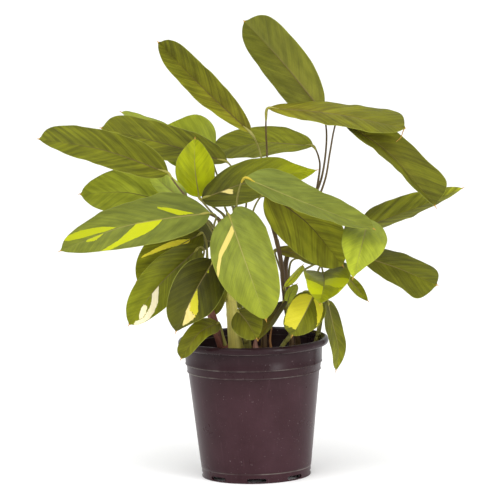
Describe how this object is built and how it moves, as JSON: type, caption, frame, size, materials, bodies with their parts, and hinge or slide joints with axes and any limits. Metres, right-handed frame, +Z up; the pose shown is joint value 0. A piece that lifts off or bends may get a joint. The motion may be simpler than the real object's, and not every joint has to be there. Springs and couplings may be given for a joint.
{
  "type": "potted golden mosaic calathea",
  "caption": "Clump of broad patterned leaves with yellow patches on thin petioles and canes, standing in soil in a dark round nursery pot",
  "frame": {"origin": "on the pot's axis, at the surface that the pot stands on", "axes": "+Z up along the pot's axis; -Y is the side that the picture shows; +X is the right-hand side of that view"},
  "size_m": [0.4747, 0.2991, 0.5167],
  "materials": {
    "pot": "satin moulded polypropylene",
    "soil": "loose damp potting compost with bark and coir",
    "cane": "smooth living stem under pale green sheaths",
    "red_sheath": "red-brown ribbed sheath",
    "dry_sheath": "dry papery sheath",
    "leaf": "living leaf with a satin skin, herringbone light and dark green with yellow patches"
  },
  "bodies": {
    "root": {"pot": "pot", "soil": "soil", "cane_stout": "cane", "cane_middle": "cane", "cane_right_back": "cane", "cane_right": "cane", "cane_red": "red_sheath", "cane_short": "cane", "cane_brown": "cane", "cane_leaning": "cane", "cane_back": "cane", "bud": "red_sheath", "dry_sheath": "dry_sheath", "leaf_upper_left": "leaf", "leaf_top": "leaf", "leaf_top_right": "leaf", "leaf_hanging_right": "leaf", "leaf_far_right": "leaf", "leaf_centre_right": "leaf", "leaf_centre": "leaf", "leaf_facing_right": "leaf", "leaf_behind_centre": "leaf", "leaf_small_shaded": "leaf", "leaf_low_right": "leaf", "leaf_narrow_right": "leaf", "leaf_bowl": "leaf", "leaf_half_yellow": "leaf", "leaf_outside_right": "leaf", "leaf_front": "leaf", "leaf_left_front": "leaf", "leaf_left": "leaf", "leaf_left_behind": "leaf", "leaf_pale_sliver": "leaf", "leaf_pale_round": "leaf", "leaf_upper_middle": "leaf", "leaf_young": "leaf", "leaf_left_low": "leaf", "leaf_glossy": "leaf", "leaf_shaded_left": "leaf", "leaf_low_left": "leaf", "leaf_low_left_striped": "leaf", "leaf_at_rim": "leaf", "leaf_small_front": "leaf", "leaf_folded": "leaf", "leaf_green_blade": "leaf", "leaf_pale_bud_leaf": "leaf", "leaf_dark_inner": "leaf", "leaf_back_up": "leaf", "leaf_back_right": "leaf", "leaf_back_down": "leaf", "leaf_back_left": "leaf", "leaf_back_low_right": "leaf", "leaf_back_low_left": "leaf", "leaf_back_low": "leaf", "leaf_back_low_far_right": "leaf"}
  },
  "joints": []
}
